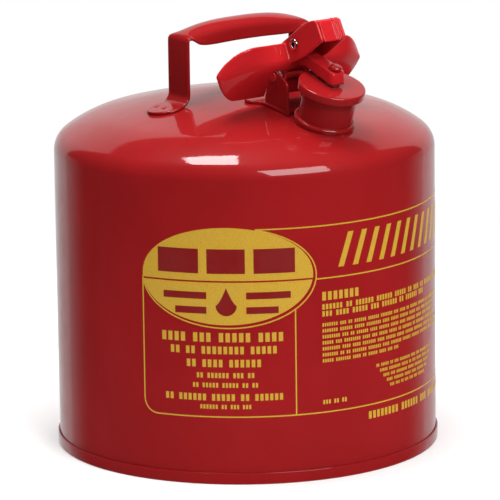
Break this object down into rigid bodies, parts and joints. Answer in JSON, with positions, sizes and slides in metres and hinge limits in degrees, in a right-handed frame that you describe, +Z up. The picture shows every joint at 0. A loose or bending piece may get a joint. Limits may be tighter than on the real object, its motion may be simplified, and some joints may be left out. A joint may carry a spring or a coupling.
{
  "type": "safety gas can",
  "caption": "Round red steel safety can for fuel, with a strap handle and a spring-closed spout that a trigger bar opens.",
  "frame": {"origin": "on the can's axis at the floor", "axes": "+Z up, X along the handle and the pivot pin, the spout leans towards -Y"},
  "size_m": [0.3175, 0.3176, 0.367],
  "materials": {
    "enamel": "gloss",
    "lever_enamel": "gloss",
    "pan_steel": "gloss",
    "brass": "satin",
    "screen": "satin",
    "zinc": "satin",
    "bright_steel": "polished",
    "spring_steel": "satin",
    "gasket": "matt"
  },
  "bodies": {
    "can": {"can_body": "enamel", "bottom_pan": "pan_steel", "bottom_chime": "enamel", "spout_neck": "enamel", "neck_collar": "enamel", "arrester_flange": "brass", "arrester_screen": "screen", "arrester_end_cap": "brass", "arrester_retaining_ring": "zinc", "hinge_bracket": "enamel", "lever_pivot_pin": "enamel", "torsion_spring_left": "spring_steel", "torsion_spring_right": "spring_steel", "carry_handle": "enamel"},
    "lever": {"closure_lever": "lever_enamel", "cap_washer": "zinc", "cap_rivet": "lever_enamel", "latch_rivet": "bright_steel", "latch_spring": "spring_steel"},
    "cap": {"spout_cap": "enamel", "cap_gasket": "gasket", "gasket_retainer": "zinc"},
    "latch": {"hold_open_latch": "lever_enamel"}
  },
  "joints": [
    {"name": "lever_pull", "type": "hinge", "parent": "can", "child": "lever", "pos_m": [0, -0.065, 0.315], "axis": [-1, 0, 0], "range_deg": [0, 50]},
    {"name": "cap_turn", "type": "hinge", "parent": "lever", "child": "cap", "pos_m": [0, -0.11588, 0.31398], "axis": [0, -0.309, 0.9511], "continuous": true},
    {"name": "latch_tip", "type": "hinge", "parent": "lever", "child": "latch", "pos_m": [0, -0.0835, 0.3436], "axis": [-1, 0, 0], "range_deg": [0, 25]}
  ]
}
